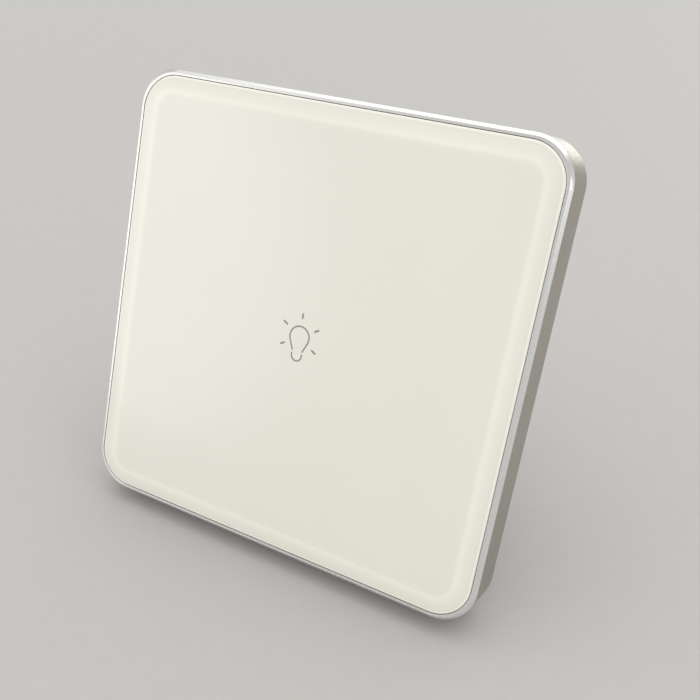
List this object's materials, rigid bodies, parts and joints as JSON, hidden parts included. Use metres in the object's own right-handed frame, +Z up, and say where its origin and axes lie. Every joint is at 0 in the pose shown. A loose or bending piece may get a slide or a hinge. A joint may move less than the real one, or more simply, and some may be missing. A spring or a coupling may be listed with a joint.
{
  "type": "smart light switch",
  "caption": "Square wall switch with a white touch glass front in an aluminium frame, clipped to a steel plate with a rear housing for a wall box.",
  "frame": {"origin": "on the wall surface, midway between the two slots for the wall box screws", "axes": "+Y into the wall, square to the face; +Z up; +X to the right for someone who faces the switch"},
  "size_m": [0.086, 0.0373, 0.086],
  "materials": {
    "white_glass": "glossy, white back print",
    "frame_aluminium": "satin side wall, polished chamfer",
    "foam_tape": "matt",
    "carrier_plastic": "fine texture",
    "screw_steel": "nickel plated",
    "spring_steel": "rolled",
    "white_board": "white solder mask",
    "green_board": "green solder mask",
    "gold_spring": "gold plated",
    "tin_plate": "tinned",
    "black_plastic": "moulded",
    "lamp_plastic": "clear yellow",
    "frosted_plastic": "frosted",
    "pin_brass": "gold plated",
    "zinc_steel": "zinc plated",
    "housing_plastic": "fine spark texture",
    "terminal_plastic": "moulded",
    "terminal_brass": "stamped",
    "soft_iron": "nickel plated",
    "relay_plastic": "glossy",
    "copper_wire": "enamelled",
    "ferrite": "sintered",
    "winding_tape": "polyester tape",
    "can_sleeve": "shrink sleeve",
    "yellow_box": "potted box",
    "chip_ceramic": "ceramic with tinned ends",
    "blue_lacquer": "dipped"
  },
  "bodies": {
    "wall_module": {"mounting_plate": "zinc_steel", "plate_screws": "screw_steel", "inner_cover": "housing_plastic", "rear_housing": "housing_plastic", "power_board": "green_board", "power_chip": "black_plastic", "power_board_parts": "chip_ceramic", "power_board_screws": "screw_steel", "header_socket": "black_plastic", "terminal_block": "terminal_plastic", "terminal_tags": "terminal_brass", "relay_base": "black_plastic", "relay_case": "relay_plastic", "relay_yoke": "soft_iron", "relay_core": "soft_iron", "relay_bobbin": "black_plastic", "relay_coil": "copper_wire", "relay_fixed_contact": "terminal_brass", "transformer_core": "ferrite", "transformer_bobbin": "black_plastic", "transformer_winding": "winding_tape", "bulk_capacitors": "can_sleeve", "output_capacitor": "can_sleeve", "film_capacitor": "yellow_box", "varistor": "blue_lacquer", "fuse": "black_plastic", "choke_core": "ferrite", "choke_winding": "copper_wire", "rectifier": "black_plastic"},
    "front_panel": {"glass_panel": "white_glass", "aluminium_frame": "frame_aluminium", "glass_adhesive": "foam_tape", "carrier_plate": "carrier_plastic", "carrier_screws": "screw_steel", "panel_clips": "spring_steel", "touch_board": "white_board", "touch_board_screws": "screw_steel", "touch_spring": "gold_spring", "light_tube": "frosted_plastic", "indicator_led": "lamp_plastic", "icon_diffuser": "frosted_plastic", "touch_chip": "black_plastic", "touch_board_parts": "chip_ceramic", "radio_board": "green_board", "radio_shield": "tin_plate", "pin_header_base": "black_plastic", "header_pins": "pin_brass"},
    "relay_armature": {"relay_armature": "soft_iron", "relay_contact_blade": "terminal_brass"},
    "terminal_screw_1": {"terminal_screw_1": "screw_steel"},
    "clamp_cage_1": {"clamp_cage_1": "zinc_steel"},
    "terminal_screw_2": {"terminal_screw_2": "screw_steel"},
    "clamp_cage_2": {"clamp_cage_2": "zinc_steel"},
    "terminal_screw_3": {"terminal_screw_3": "screw_steel"},
    "clamp_cage_3": {"clamp_cage_3": "zinc_steel"}
  },
  "joints": [
    {"name": "front_panel_pull", "type": "slide", "parent": "wall_module", "child": "front_panel", "axis": [0, -1, 0], "range_m": [0, 0.025], "deforming": ["panel_clips"]},
    {"name": "relay_armature_hinge", "type": "hinge", "parent": "wall_module", "child": "relay_armature", "pos_m": [-0.0205, 0.02225, -0.0088], "axis": [0, 0, -1], "range_deg": [0, 3.8], "stiffness_Nm_per_rad": 0.02, "springref_deg": -5.73},
    {"name": "terminal_screw_1_turn", "type": "hinge", "parent": "wall_module", "child": "terminal_screw_1", "pos_m": [-0.01, 0.0265, -0.0262], "axis": [0, -1, 0], "range_deg": [0, 1800]},
    {"name": "clamp_cage_1_lift", "type": "slide", "parent": "wall_module", "child": "clamp_cage_1", "axis": [0, 1, 0], "range_m": [0, 0.0025]},
    {"name": "terminal_screw_2_turn", "type": "hinge", "parent": "wall_module", "child": "terminal_screw_2", "pos_m": [0, 0.0265, -0.0262], "axis": [0, -1, 0], "range_deg": [0, 1800]},
    {"name": "clamp_cage_2_lift", "type": "slide", "parent": "wall_module", "child": "clamp_cage_2", "axis": [0, 1, 0], "range_m": [0, 0.0025]},
    {"name": "terminal_screw_3_turn", "type": "hinge", "parent": "wall_module", "child": "terminal_screw_3", "pos_m": [0.01, 0.0265, -0.0262], "axis": [0, -1, 0], "range_deg": [0, 1800]},
    {"name": "clamp_cage_3_lift", "type": "slide", "parent": "wall_module", "child": "clamp_cage_3", "axis": [0, 1, 0], "range_m": [0, 0.0025]}
  ],
  "couplings": [
    {"joint": "terminal_screw_1_turn", "follows": "clamp_cage_1_lift", "rad_per_m": 12566},
    {"joint": "terminal_screw_2_turn", "follows": "clamp_cage_2_lift", "rad_per_m": 12566},
    {"joint": "terminal_screw_3_turn", "follows": "clamp_cage_3_lift", "rad_per_m": 12566}
  ]
}
